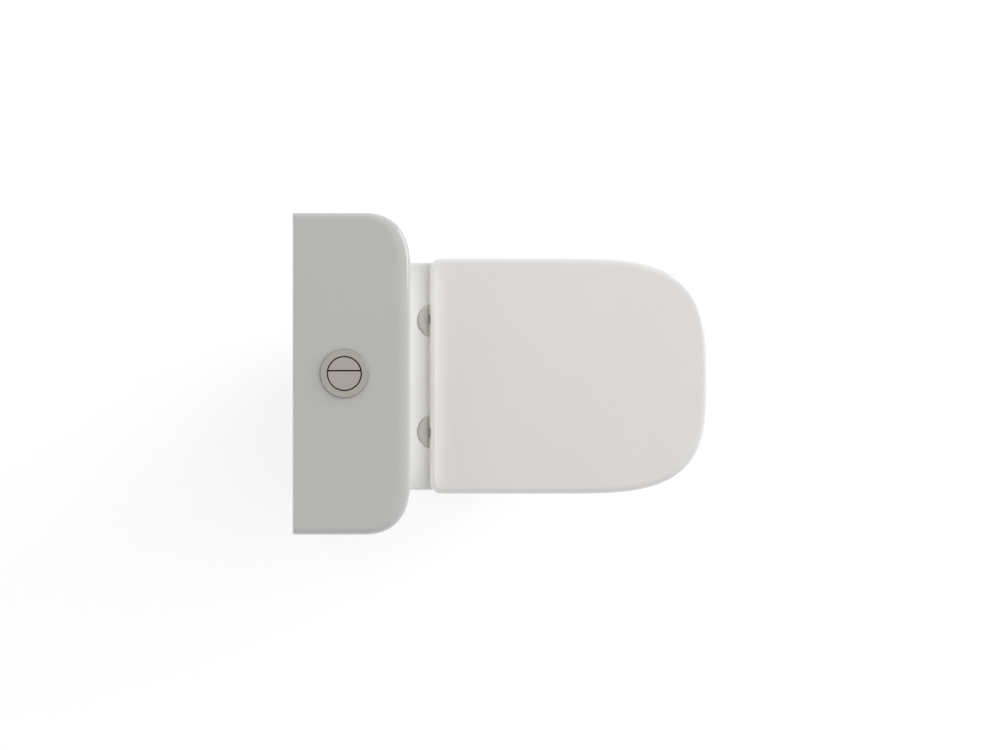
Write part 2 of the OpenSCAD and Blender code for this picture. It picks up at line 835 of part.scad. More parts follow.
module hinge_discs() {
    color(steel) both_sides() difference() {
        translate([hinge_x, y(disc_back), rim_h]) rotate_extrude($fn = 72)
            polygon([[0, 0], [disc_dia / 2, 0], [disc_dia / 2, disc_t - 1.2],
                [disc_dia / 2 - 1.2, disc_t], [0, disc_t]]);
        post(hinge_x, hinge_back, rim_h - 1, disc_t + 2, post_dia + 0.2);
    }
}

module hinge_posts() {
    color(steel) both_sides()
        post(hinge_x, hinge_back, rim_h, hinge_h - knuckle_dia / 2 + 2, post_dia);
}

// Studs fixed under the discs, which draw the cones up into the plugs
module hinge_studs() {
    color(steel) both_sides()
        post(hinge_x, disc_back, rim_h - plug_l - cone_l - 3, plug_l + cone_l + 3, stud_dia);
}

module hinge_plugs() {
    color(rubber) both_sides()
        post(hinge_x, disc_back, rim_h - plug_l, plug_l, hinge_hole_dia - 0.2, stud_dia);
}

module hinge_cones() {
    color(steel) both_sides() difference() {
        translate([hinge_x, y(disc_back), rim_h - plug_l - cone_l])
            cylinder(h = cone_l, d1 = hinge_hole_dia - 1, d2 = stud_dia + 3);
        post(hinge_x, disc_back, rim_h - plug_l - cone_l - 1, cone_l + 2, stud_dia);
    }
}

// Fixed knuckle that holds the damper
module hinge_housings() {
    color(plastic) both_sides() difference() {
        along_hinge(hinge_x - knuckle_l / 2, knuckle_l, knuckle_dia);
        along_hinge(hinge_x - knuckle_l / 2 - 1, knuckle_l + 2, spindle_dia);
        post(hinge_x, hinge_back, rim_h, hinge_h - knuckle_dia / 2 + 2, post_dia);
    }
}

module hinge_spindles() {
    color(steel) both_sides() along_hinge(hinge_x - spindle_l / 2, spindle_l, spindle_dia);
}

// ---- Seat ring ----

ring_z = rim_h + ring_lift;
ring_top = ring_z + ring_t;
ring_hw = seat_w / 2 - shell_t - skirt_gap;
ring_back = hinge_back + knuckle_dia / 2 + 3;
ring_front = depth - shell_t - skirt_gap;
nose_l = 226;
nose_power = 3.45;
inner_knuckle_x = hinge_x - knuckle_l / 2 - side_play - moving_knuckle_l;
outer_knuckle_x = hinge_x + knuckle_l / 2 + side_play;

module seat_ring() {
    color(white) difference() {
        union() {
            loft([
                at_height(d_outline(ring_hw - 1.5, ring_front - 1.5, ring_back, nose_l,
                    nose_power, 3), ring_z),
                at_height(d_outline(ring_hw, ring_front, ring_back, nose_l, nose_power, 3),
                    ring_z + 4),
                at_height(d_outline(ring_hw, ring_front, ring_back, nose_l, nose_power, 3),
                    ring_top - 6),
                at_height(d_outline(ring_hw - 4, ring_front - 4, ring_back, nose_l,
                    nose_power, 3), ring_top)]);
            both_sides() {
                along_hinge(inner_knuckle_x, moving_knuckle_l, knuckle_dia);
                translate([inner_knuckle_x, y(ring_back) - 6, hinge_z - knuckle_dia / 2])
                    cube([moving_knuckle_l, ring_back - hinge_back + 6,
                        ring_top - hinge_z + knuckle_dia / 2]);
            }
        }
        loft([at_height(oval(ring_hole_w / 2, ring_front - ring_nose + 4,
                ring_back + ring_rear - 4, 2.4), ring_z - 1),
            at_height(oval(ring_hole_w / 2, ring_front - ring_nose + 2,
                ring_back + ring_rear - 2, 2.4), ring_z + ring_t * 0.6),
            at_height(oval(ring_hole_w / 2 + 9, ring_front - ring_nose + 9,
                ring_back + ring_rear - 9, 2.4), ring_top + 1)]);
        both_sides() along_hinge(inner_knuckle_x - 1, moving_knuckle_l + 2,
            spindle_dia + 2 * spindle_fit);
    }
}

bumper_x = ring_hw - 26;

module seat_bumpers() {
    color(rubber) both_sides() for (back = [ring_back + 70, ring_back + 210])
        post(bumper_x, back, rim_h, ring_lift, 18);
}

// ---- Seat lid ----

lid_under = rim_h + seat_lid_h - shell_t - 1;
seat_top = rim_h + seat_lid_h;
skirt_z = rim_h + skirt_h;
rear_skirt_z = hinge_z - 8.5;
post_room = 2;
post_notch_h = 9;

function seat_lid_ring(z, inset) = at_height(d_outline(seat_w / 2 - inset, depth - inset,
    seat_back + min(inset, 5), nose_l - inset / 2, nose_power, 16 - min(inset, 6)), z);

module seat_lid() {
    notch_w = post_dia + 2 * post_room;
    color(white) difference() {
        union() {
            difference() {
                loft([seat_lid_ring(skirt_z, 0.6), seat_lid_ring(skirt_z + 3, 0),
                    seat_lid_ring(seat_top - 9, 0), seat_lid_ring(seat_top - 4.5, 1.5),
                    seat_lid_ring(seat_top - 1.5, 5), seat_lid_ring(seat_top, 13)]);
                loft([seat_lid_ring(skirt_z - 1, shell_t), seat_lid_ring(lid_under - 4, shell_t),
                    seat_lid_ring(lid_under, shell_t + 4)]);
                translate([-seat_w, y(ring_back + 4), skirt_z - 1])
                    cube([2 * seat_w, 100, rear_skirt_z - skirt_z + 1]);
                both_sides() translate([hinge_x - notch_w / 2, y(hinge_back), skirt_z - 1])
                    cube([notch_w, 60, hinge_z + post_notch_h - skirt_z + 1]);
            }
            both_sides() {
                along_hinge(outer_knuckle_x, moving_knuckle_l, knuckle_dia);
                translate([outer_knuckle_x, y(hinge_back) - 6, hinge_z])
                    cube([moving_knuckle_l, 12, lid_under - hinge_z + 1]);
            }
        }
        both_sides() along_hinge(outer_knuckle_x - 1, moving_knuckle_l + 2,
            spindle_dia + 2 * spindle_fit);
    }
}

module lid_bumpers() {
    color(rubber) both_sides() for (back = [ring_back + 90, ring_back + 250])
        post(ring_hw - 34, back, ring_top, lid_under - ring_top, 14);
}

pan_deck();
pan_bowl();
pan_sump();
pan_duct();
pan_trap();
pan_skirt();
floor_brackets();
side_screws();
screw_caps();
doughnut_seal();
cistern();
cistern_bolts();
bolt_seals();
bolt_washers();
wing_nuts();
flush_valve_base();
flush_valve_washer();
flush_valve_nut();
flush_valve_tower();
flush_valve_head();
fill_valve_tail();
fill_valve_washer();
fill_valve_nut();
fill_valve_column();
fill_valve_head();
lever_pin();
hinge_discs();
hinge_posts();
hinge_studs();
hinge_plugs();
hinge_cones();
hinge_housings();
hinge_spindles();
cistern_lid();
button_housing();
button_nut();
full_flush_spring();
half_flush_spring();
full_flush_button();
full_flush_rod();
half_flush_button();
half_flush_rod();
overflow_tube();
flush_seal();
fill_float();
float_link();
fill_valve_lever();
seat_ring();
seat_bumpers();
seat_lid();
lid_bumpers();
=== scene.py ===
"""Close coupled toilet: glazed china pan and cistern, duroplast seat, satin flush buttons."""
import math

import bmesh
import bpy
import numpy as np
from mathutils import Matrix, Vector


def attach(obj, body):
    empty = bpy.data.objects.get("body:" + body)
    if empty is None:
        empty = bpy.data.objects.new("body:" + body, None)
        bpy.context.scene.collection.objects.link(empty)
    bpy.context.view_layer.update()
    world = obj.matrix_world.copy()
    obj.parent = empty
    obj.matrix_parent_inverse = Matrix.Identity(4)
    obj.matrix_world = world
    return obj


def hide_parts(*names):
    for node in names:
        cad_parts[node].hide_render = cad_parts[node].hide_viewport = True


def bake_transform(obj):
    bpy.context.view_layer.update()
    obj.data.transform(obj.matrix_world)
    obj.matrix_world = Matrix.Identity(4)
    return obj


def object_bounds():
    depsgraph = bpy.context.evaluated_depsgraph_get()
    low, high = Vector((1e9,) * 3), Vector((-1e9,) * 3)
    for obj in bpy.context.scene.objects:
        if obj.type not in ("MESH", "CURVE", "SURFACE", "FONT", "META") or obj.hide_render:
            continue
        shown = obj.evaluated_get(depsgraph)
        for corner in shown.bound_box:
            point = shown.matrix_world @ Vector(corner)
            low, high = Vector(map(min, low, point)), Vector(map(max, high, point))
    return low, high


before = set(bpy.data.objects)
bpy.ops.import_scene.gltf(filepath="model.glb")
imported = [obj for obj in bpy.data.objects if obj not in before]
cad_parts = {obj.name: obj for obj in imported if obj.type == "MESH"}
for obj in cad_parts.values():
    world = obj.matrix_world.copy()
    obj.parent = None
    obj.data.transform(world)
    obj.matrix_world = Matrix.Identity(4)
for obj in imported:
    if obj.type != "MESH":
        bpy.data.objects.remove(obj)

cad_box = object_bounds()
low, high = (np.array(corner) for corner in cad_box)
MM = 0.001
ROUND = 2 * math.pi
UPWARD = (0, 0, 1)


def y(back):
    """A distance in mm from the wall, as a place along Y."""
    return high[1] - back * MM


# ---------------------------------------------------------------- meshes

def new_object(name, mesh):
    obj = bpy.data.objects.new(name, mesh)
    bpy.context.scene.collection.objects.link(obj)
    return obj


def skin(name, rings, closed=False):
    """A surface through a stack of rings with equal numbers of points, capped unless closed."""
    rings = [np.asarray(ring, dtype=float) for ring in rings]
    count = len(rings[0])
    points = np.concatenate(rings)
    faces = []
    pairs = len(rings) if closed else len(rings) - 1
    for j in range(pairs):
        here, there = j * count, ((j + 1) % len(rings)) * count
        for i in range(count):
            k = (i + 1) % count
            faces.append((here + i, here + k, there + k, there + i))
    if not closed:
        faces.append(tuple(range(count - 1, -1, -1)))
        last = (len(rings) - 1) * count
        faces.append(tuple(last + i for i in range(count)))
    mesh = bpy.data.meshes.new(name)
    mesh.from_pydata(points.tolist(), [], faces)
    mesh.validate()
    obj = new_object(name, mesh)
    point_out(mesh)
    return obj


def point_out(mesh):
    """Turns the faces outward, judged by the sign of the enclosed volume."""
    work = bmesh.new()
    work.from_mesh(mesh)
    bmesh.ops.recalc_face_normals(work, faces=work.faces)
    if work.calc_volume(signed=True) < 0:
        bmesh.ops.reverse_faces(work, faces=work.faces)
    work.to_mesh(mesh)
    work.free()


def turned(name, profile, centre, axis=UPWARD, around=96):
    """A lathe form: profile is (radius, height) in mm along the axis, capped at both ends."""
    turn = Vector(UPWARD).rotation_difference(Vector(axis)).to_matrix()
    rings = []
    for radius, height in profile:
        ring = []
        for k in range(around):
            angle = ROUND * k / around
            local = Vector((radius * math.cos(angle), radius * math.sin(angle), height)) * MM
            ring.append(Vector(centre) + turn @ local)
        rings.append(ring)
    return skin(name, rings)


def box(name, a, b):
    """A plain box between two corners, used only as a cutter."""
    x0, y0, z0 = (min(p, q) for p, q in zip(a, b))
    x1, y1, z1 = (max(p, q) for p, q in zip(a, b))
    base = [(x0, y0), (x1, y0), (x1, y1), (x0, y1)]
    return skin(name, [[(p, q, z) for p, q in base] for z in (z0, z1)])


def shape(obj, operation, *tools):
    """Cuts or joins obj with the tools, which are used up."""
    for tool in tools:
        step = obj.modifiers.new("shape", "BOOLEAN")
        step.operation = operation
        step.solver = "EXACT"
        step.object = tool
        settle(obj)
        bpy.data.objects.remove(tool)
    return obj


def settle(obj):
    """Applies the modifiers of obj."""
    bpy.context.view_layer.update()
    graph = bpy.context.evaluated_depsgraph_get()
    mesh = bpy.data.meshes.new_from_object(obj.evaluated_get(graph))
    obj.modifiers.clear()
    obj.data = mesh


def smooth(obj, angle=32):
    """Smooth shading, with sharp edges where faces meet at more than the angle in degrees."""
    obj.data.shade_smooth()
    obj.data.set_sharp_from_angle(angle=math.radians(angle))
    return obj


def ease(width, depth, steps=6):
    """Offsets (inward, along) in mm of a quarter-round edge, from the side to the face."""
    angles = np.linspace(0, math.pi / 2, steps + 1)
    return [(width * (1 - math.cos(a)), depth * (1 - math.sin(a))) for a in angles]


def at(outline, z):
    """An outline in plan, in mm from the centre line and the wall, as a ring at height z in mm."""
    return [(p[0] * MM, y(p[1]), z * MM) for p in outline]


# ---------------------------------------------------------------- outlines, in mm
# A point is (distance from the centre line, distance from the wall). Loops run from the front
# centre round the right side to the back, and return along the left side.

def nose_curve(half_width, front, width, depth, power, steps=44):
    """A superelliptic front corner, evenly divided, from the centre line to the side."""
    angles = np.linspace(math.pi / 2, 0, 400)
    across = half_width - width + width * np.cos(angles).clip(0) ** (2 / power)
    back = front - depth * (1 - np.sin(angles).clip(0) ** (2 / power))
    points = np.stack([across, back], 1)
    if width < half_width:
        points = np.concatenate([[[0, front]], points])
    return even(points, steps)


def even(points, steps):
    """The same line with its points at equal distances."""
    run = np.concatenate([[0], np.cumsum(np.linalg.norm(np.diff(points, axis=0), axis=1))])
    places = np.linspace(0, run[-1], steps)
    return np.stack([np.interp(places, run, points[:, k]) for k in (0, 1)], 1)


def corner(half_width, back, radius, steps=7):
    """A rounded back corner, from the side to the back edge."""
    angles = np.linspace(0, math.pi / 2, steps)
    return np.stack([half_width - radius + radius * np.cos(angles),
                     back + radius - radius * np.sin(angles)], 1)


def line(start, end, steps):
    """Points between start and end, without the ends."""
    shares = np.linspace(0, 1, steps + 2)[1:-1, None]
    return np.array(start) * (1 - shares) + np.array(end) * shares


def whole(*parts):
    """Mirrors half an outline, without repeating the points on the centre line."""
    half = np.concatenate(parts)
    other = half[half[:, 0] > 0.01][::-1] * (-1, 1)
    return np.concatenate([half, other])


def d_outline(half_width, front, back, nose, power, radius, width=None):
    """A D shape: a rounded front, straight sides and small back corners."""
    side = (half_width, front - nose)
    return whole(nose_curve(half_width, front, width or half_width, nose, power),
                 line(side, (half_width, back + radius), 8), corner(half_width, back, radius),
                 line((half_width - radius, back), (0, back), 8), [(0, back)])


def waisted_outline(half_width, front, back, nose, power, neck, shoulder, radius):
    """A rounded front whose sides step in smoothly to the half width neck at the shoulder."""
    turn = np.linspace(0, 1, 15)
    step = np.stack([half_width + (neck - half_width) * (1 - np.cos(math.pi * turn)) / 2,
                     shoulder - 40 * (turn - 0.5)], 1)
    return whole(nose_curve(half_width, front, half_width, nose, power),
                 step, line(step[-1], (neck, back + radius), 6), corner(neck, back, radius),
                 line((neck - radius, back), (0, back), 8), [(0, back)])


def oval(half_width, front, back, power, steps=112):
    angles = np.linspace(0, ROUND, steps, endpoint=False) - math.pi / 2
    c, s = np.cos(angles), np.sin(angles)
    middle, half = (front + back) / 2, (front - back) / 2
    return np.stack([half_width * np.sign(c) * np.abs(c) ** (2 / power),
                     middle - half * np.sign(s) * np.abs(s) ** (2 / power)], 1)


def rod(name, a, b, radius, around=64):
    """A round bar between two places, each (across, distance from the wall, height) in mm."""
    start, end = (Vector((p[0] * MM, y(p[1]), p[2] * MM)) for p in (a, b))
    length = (end - start).length / MM
    return turned(name, [(radius, 0), (radius, length)], start, end - start, around)


def ball(name, place, radius, around=64):
    centre = (place[0] * MM, y(place[1]), place[2] * MM)
    angles = np.linspace(-math.pi / 2, math.pi / 2, 25)[1:-1]
    return turned(name, [(radius * math.cos(a), radius * math.sin(a)) for a in angles], centre,
                  around=around)


def plate(name, profile, left, right, edge=0.8):
    """A profile of (distance from the wall, height) carried from left to right, edges eased."""
    profile = np.array(profile, dtype=float)
    middle = profile.mean(axis=0)
    reach = np.linalg.norm(profile - middle, axis=1, keepdims=True)
    rings = []
    for across, inset in ((left, edge), (left + edge * 0.3, edge * 0.3), (left + edge, 0),
                          (right - edge, 0), (right - edge * 0.3, edge * 0.3), (right, edge)):
        drawn = middle + (profile - middle) * (1 - inset / reach)
        rings.append([(across * MM, y(p[0]), p[1] * MM) for p in drawn])
    return skin(name, rings)


def mirrored(*objects):
    """Copies of the objects on the other side of the centre line."""
    copies = []
    for obj in objects:
        mesh = obj.data.copy()
        mesh.transform(Matrix.Scale(-1, 4, (1, 0, 0)))
        mesh.flip_normals()
        copies.append(new_object(obj.name + "_left", mesh))
    return copies


def bevel(obj, width, segments=3, angle=35):
    """Rounds the sharp edges of obj, width in mm."""
    step = obj.modifiers.new("eased_edges", "BEVEL")
    step.width = width * MM
    step.segments = segments
    step.limit_method = "ANGLE"
    step.angle_limit = math.radians(angle)
    return obj


def flats(obj):
    """Keeps large flat faces flat where they meet rounded edges."""
    step = obj.modifiers.new("even_normals", "WEIGHTED_NORMAL")
    step.keep_sharp = True
    return obj


# ---------------------------------------------------------------- sizes, in mm

DEPTH = (high[1] - low[1]) / MM
RIM = 400                 # top of the pan's rim
SHELF_UNDER = 362         # underside of the deck and shelf
CHINA = 11                # thickness of the china
VALVE_BACK = 70           # the flush valve and the cistern bolts, from the wall
SEAL_DEPTH = 22           # recess for the seal between the cistern and the pan
BOLT_X = 75
FOOT_BACK = 150
SUMP = (0, 326, 86)
OUTLET_H = 185
CISTERN = 403             # underside of the cistern
CISTERN_TOP = 764
BEZEL_HEIGHT = 4
COVER_TOP = high[2] / MM - BEZEL_HEIGHT
FILL_X, FILL_BACK = -132, 64
BUTTONS = (0, 63.6)
BUTTON_HALF, BUTTON_GAP = 20.5, 0.9
BUTTON_SPLIT = 3.5        # the dividing line, from the button's centre
BUTTON_PROUD = 3.2        # top of the buttons, from the top of the cistern's cover
ROD_X = (-9, 12.5)        # the push rods of the full and the half flush
SPRING = (-24.4, -4.4)    # the return springs' ends, from the top of the cistern's cover
HINGE = (228, RIM + 24)   # the hinge's axis: distance from the wall, height
HINGE_X = 88
DISC_BACK = 221.6
KNUCKLE = 9
SPINDLE = 4.05
SEAT_HALF = 182.5
RING_BACK = 240
RING_HALF = SEAT_HALF - 5.5
RING_FRONT = DEPTH - 5.5
RING_LOW, RING_TOP = RIM + 5, RIM + 26
LID_TOP = RIM + 45
LID_UNDER = LID_TOP - 5
SKIRT = RIM + 12
NOSE, NOSE_POWER = 226, 3.45


# ---------------------------------------------------------------- pan

def body_ring(share, inset):
    half_width = 115 + 60.5 * share ** 1.7
    front = 546 + 76 * share ** 1.3
    outline = waisted_outline(half_width - inset, front - inset, FOOT_BACK - 30 * share + inset,
                              165 + 60 * share - inset, 2.6, 115 - 12 * share - inset,
                              FOOT_BACK + 70, 12)
    return at(outline, 60 + (SHELF_UNDER - 60) * share)


def foot_ring(height, inset):
    return [(p[0], p[1], height * MM) for p in body_ring(0, inset)]


def deck_ring(height, inset):
    return at(waisted_outline(180.5 - inset, 628 - inset, 8 + inset, NOSE, 3, 100 - inset, 140, 14),
              height)


def bowl_ring(height, grow):
    """The bowl at a height: it narrows from the rim to the sump."""
    share = max(0.0, min(1.0, (RIM - height) / 284)) ** (1 / 1.15)
    c = math.cos(share * math.pi / 2)
    back, front = SUMP[1] - 40, SUMP[1] + 40
    return at(oval(102 * c + 36 + grow, front + (590 - front) * c ** 0.9 + grow,
                   back - (back - 264) * c - grow, 2.3), height)


def bowl_form(name, grow):
    heights = list(np.linspace(116, 356, 24))
    return skin(name, [bowl_ring(h, grow) for h in heights] + [bowl_ring(RIM + 4, grow)])


def bowl_inside():
    """The bowl with a rolled lip and, under it, the channel that spreads the flush."""
    heights = list(np.linspace(116, 352, 26))
    rings = [bowl_ring(h, 0) for h in heights]
    channel = ((360, 0), (364, 2), (367, 6.5), (370, 8.5), (377, 8.5), (380.5, 7), (382.5, 2.5),
               (383.5, 0.4), (386, 0))
    rings += [bowl_ring(h, grow) for h, grow in channel]
    rings += [bowl_ring(RIM - 8 + along, inward) for inward, along in lip(8)]
    return skin("bowl_inside", rings + [bowl_ring(RIM + 3, 8.6)])


def lip(size, steps=6):
    """A quarter round that opens outward towards the top."""
    angles = np.linspace(0, math.pi / 2, steps + 1)
    return [(size * (1 - math.cos(a)), size * math.sin(a)) for a in angles]


def trap_parts(grow, end):
    """Sump, rising leg and outlet of the trap. The balls stand a hair proud to close the joints."""
    bore, outlet = 37 + grow, 42 + grow
    leg_end = (0, FOOT_BACK + 60, OUTLET_H)
    return [rod("sump", SUMP, (0, SUMP[1], SUMP[2] + 60), bore),
            ball("sump_bend", SUMP, bore + 0.15),
            rod("trap_leg", SUMP, leg_end, bore),
            ball("outlet_bend", leg_end, outlet + 0.15),
            rod("outlet_way", leg_end, (0, end, OUTLET_H), outlet)]


def pan():
    rings = [foot_ring(0, 2.5), foot_ring(0.7, 0.8), foot_ring(2.5, 0), foot_ring(30, 0)]
    rings += [body_ring(k / 26, 0) for k in range(27)]
    rings += [deck_ring(SHELF_UNDER + z, inset) for z, inset in
              ((0, 4), (0.6, 2.4), (2, 1), (4, 0.25), (6, 0), (16, 0))]
    rings += [deck_ring(RIM - along, inward) for inward, along in ease(7, 7)]
    form = skin("pan", rings)
    hollow = skin("hollow", [foot_ring(-2, CHINA)]
                  + [body_ring(k / 26, CHINA) for k in range(26)]
                  + [[(p[0], p[1], (SHELF_UNDER - 0.5) * MM) for p in body_ring(1, CHINA)]])
    duct, duct_outside = 23, 34
    level = SHELF_UNDER - 10
    duct_end = (0, VALVE_BACK, level)
    shape(hollow, "DIFFERENCE", bowl_form("bowl_back", CHINA), *trap_parts(CHINA, FOOT_BACK),
          rod("duct", (0, 268, level), duct_end, duct_outside),
          rod("shoulder", (0, FOOT_BACK + 20, OUTLET_H), (0, 100, OUTLET_H), 57))
    shape(form, "DIFFERENCE", hollow)
    spigot = turned("spigot", [(50, 0), (50.8, 0.6), (51, 2), (51, 84), (51.8, 87), (54, 89.3),
                               (56, 90.2), (57, 91.5), (57, 150)],
                    (0, y(15), OUTLET_H * MM), (0, -1, 0))
    elbow = [rod("duct_under", (0, 150, level), duct_end, duct_outside),
             ball("elbow", duct_end, duct_outside + 0.1)]
    shape(form, "UNION", spigot, *elbow)
    shape(form, "DIFFERENCE", bowl_inside(), *trap_parts(0, 5),
          rod("duct_bore", (0, 288, level), duct_end, duct),
          ball("duct_bend", duct_end, duct + 0.1),
          rod("duct_down", duct_end, (0, VALVE_BACK, RIM + 6), duct),
          rod("valve_way", (0, VALVE_BACK, 366), (0, VALVE_BACK, RIM + 6), 30.5),
          turned("recess", [(52, 0), (52, SEAL_DEPTH - 2), (53, SEAL_DEPTH), (53, SEAL_DEPTH + 6)],
                 (0, y(VALVE_BACK), (RIM - SEAL_DEPTH) * MM)))
    holes = [rod("bolt_hole", (BOLT_X, VALVE_BACK, 350), (BOLT_X, VALVE_BACK, 410), 6, 40),
             rod("hinge_hole", (HINGE_X, DISC_BACK, 350), (HINGE_X, DISC_BACK, 410), 7, 40),
             rod("screw_hole", (95, 262, 34), (125, 262, 34), 4, 32)]
    shape(form, "DIFFERENCE", *holes, *mirrored(*holes))
    return form


# ---------------------------------------------------------------- cistern and its lid

def cistern_ring(height, inset):
    slope = min(1.0, (CISTERN_TOP - height) / 349)
    return at(d_outline(190 - 19 * slope - inset, 138 - 12 * slope - inset, 5 + slope + inset,
                        56 - inset, 2.5, 5, width=64 - inset), height)


def cistern():
    rings = [cistern_ring(CISTERN + along, inward) for along, inward in
             ((0, 9), (0.4, 6.4), (1.8, 3.7), (4.4, 1.6), (8, 0.4), (12, 0))]
    rings += [cistern_ring(h, 0) for h in np.linspace(440, 752, 10)]
    rings += [cistern_ring(CISTERN_TOP - along, inward) for inward, along in ease(2, 2, 3)]
    form = skin("cistern", rings)
    inside = [cistern_ring(415, 15), cistern_ring(416, 12.2), cistern_ring(419, 10),
              cistern_ring(424, 9)]
    inside += [cistern_ring(h, 9) for h in np.linspace(450, 760, 10)]
    inside += [cistern_ring(CISTERN_TOP - 2 + along, 9 - inward) for inward, along in lip(2, 3)]
    inside += [cistern_ring(CISTERN_TOP + 3, 6.8)]
    holes = [rod("valve_hole", (0, VALVE_BACK, 400), (0, VALVE_BACK, 420), 30),
             rod("fill_hole", (FILL_X, FILL_BACK, 400), (FILL_X, FILL_BACK, 420), 12, 40)]
    bolt = rod("bolt_way", (BOLT_X, VALVE_BACK, 400), (BOLT_X, VALVE_BACK, 420), 5.5, 40)
    return shape(form, "DIFFERENCE", skin("inside", inside), *holes, bolt, *mirrored(bolt))


def cover_ring(height, side, front=None, back=0.0):
    front = side if front is None else front
    return at(d_outline(199 - side, 146 - front, back, 60 - front, 2.5, 3, width=70 - side),
              height)


def cistern_cover():
    rings = [cover_ring(CISTERN_TOP + along, inward) for along, inward in
             ((0, 2.2), (0.3, 1.1), (1.2, 0.3), (3, 0), (20, 0))]
    for inward, along in ease(1, 1, 10):
        rings.append(cover_ring(COVER_TOP - 12 * along, 10 * inward, 20 * inward, 2.5 * inward))
    form = skin("cistern_cover", rings)
    lip_ring = skin("lip_ring", [cover_ring(CISTERN_TOP - 6 + z, 21 + i, back=17 + i)
                                 for z, i in ((0, 1.5), (0.5, 0.4), (1.6, 0), (7.5, 0))])
    shape(form, "UNION", lip_ring)
    hollow = skin("cover_hollow", [cover_ring(CISTERN_TOP - 8, 28, back=24),
                                   cover_ring(COVER_TOP - 13, 28, back=24),
                                   cover_ring(COVER_TOP - 10, 29, back=25),
                                   cover_ring(COVER_TOP - 9, 32, back=28)])
    button_hole = rod("button_hole", (*BUTTONS, COVER_TOP - 20), (*BUTTONS, COVER_TOP + 6), 26.6)
    return shape(form, "DIFFERENCE", hollow, button_hole)


# ---------------------------------------------------------------- flush buttons

def bezel():
    """Round-shouldered collar over a cup that hangs through the cover and guides the rods."""
    half, bore, sleeve = 30, BUTTON_HALF + BUTTON_GAP, 25
    cup_floor, cup_under = -25, -28
    inner = [(bore, 3.6), (bore + 0.15, 3.9), (bore + 0.5, BEZEL_HEIGHT)]
    crown = [(half - inward, BEZEL_HEIGHT - down) for inward, down in
             ((1.5, 0), (0.9, 0.06), (0.4, 0.3), (0.1, 0.7), (0, 1.2), (0, 3.6), (0.1, 4))]
    profile = [(1.5, cup_floor), (bore, cup_floor), *inner, *crown,
               (sleeve, 0), (sleeve, cup_under), (1.5, cup_under)]
    form = turned("bezel", profile, (0, y(BUTTONS[1]), COVER_TOP * MM), around=144)
    holes = [rod("rod_hole", (across, BUTTONS[1], COVER_TOP - 30),
                 (across, BUTTONS[1], COVER_TOP - 24), 4, 32) for across in ROD_X]
    return shape(form, "DIFFERENCE", *holes)


def button(name, side):
    """One part of the round button: eased top edge, cut on the dividing line."""
    radius, gap, split = BUTTON_HALF, BUTTON_GAP, BUTTON_SPLIT
    edge = [(radius, -7), (radius, -0.9), (radius - 0.2, -0.4), (radius - 0.7, -0.1),
            (radius - 1.6, 0)]
    form = turned(name, edge, (0, y(BUTTONS[1]), (COVER_TOP + BUTTON_PROUD) * MM), around=144)
    near, far = (split - gap, 40) if side < 0 else (split + gap, -40)
    shape(form, "DIFFERENCE", box("cut", (near * MM, y(20), 0.78), (far * MM, y(110), 0.82)))
    bevel(form, 0.45, 3, 60)
    return form


def return_spring(name, across):
    """Round wire coiled about a push rod, its first and last turns lying flat."""
    wire, coil, turns = 0.5, 4.7, 7
    start, end = COVER_TOP + SPRING[0], COVER_TOP + SPRING[1]
    section = np.linspace(0, ROUND, 10, endpoint=False)
    rings = []
    for turn in np.linspace(0, turns, turns * 24 + 1):
        rise = np.interp(turn, (0, 1, turns - 1, turns),
                         (start, start + 2 * wire, end - 2 * wire, end))
        reach = coil + wire * np.cos(section)
        rings.append(np.stack([across + reach * math.cos(ROUND * turn),
                               BUTTONS[1] + reach * math.sin(ROUND * turn),
                               rise + wire * np.sin(section)], 1))
    return skin(name, [[(p[0] * MM, y(p[1]), p[2] * MM) for p in ring] for ring in rings])


# ---------------------------------------------------------------- seat

def lid_ring(height, inset, shrink=1.0):
    outline = d_outline(SEAT_HALF - inset, DEPTH - inset, 212 + min(inset, 5), NOSE - inset / 2,
                        NOSE_POWER, 16 - min(inset, 6))
    middle = np.array([0, 420])
    return at(middle + (outline - middle) * shrink, height)


def knuckle(first, last):
    """Part of the round outline about the spindle, between two angles in degrees."""
    angles = np.radians(np.linspace(first, last, 28))
    return [(HINGE[0] + KNUCKLE * math.cos(a), HINGE[1] + KNUCKLE * math.sin(a)) for a in angles]


def lid_ear():
    """A knuckle on the spindle, with a web that rises to the underside of the lid."""
    back, height = HINGE
    web = [(back + 8, height + 8), (back + 10, LID_UNDER + 1), (back - 8, LID_UNDER + 1),
           (back - 8, height + 4)]
    return plate("lid_ear", knuckle(200, 340) + web, HINGE_X + 10.5, HINGE_X + 23.5)


def ring_ear():
    """A knuckle on the spindle, with a web that runs forward into the back of the ring."""
    web = [(RING_BACK + 8, HINGE[1] - KNUCKLE), (RING_BACK + 8, RING_TOP - 1),
           (RING_BACK, RING_TOP - 0.4)]
    return plate("ring_ear", knuckle(65, 270) + web, HINGE_X - 23.5, HINGE_X - 10.5)


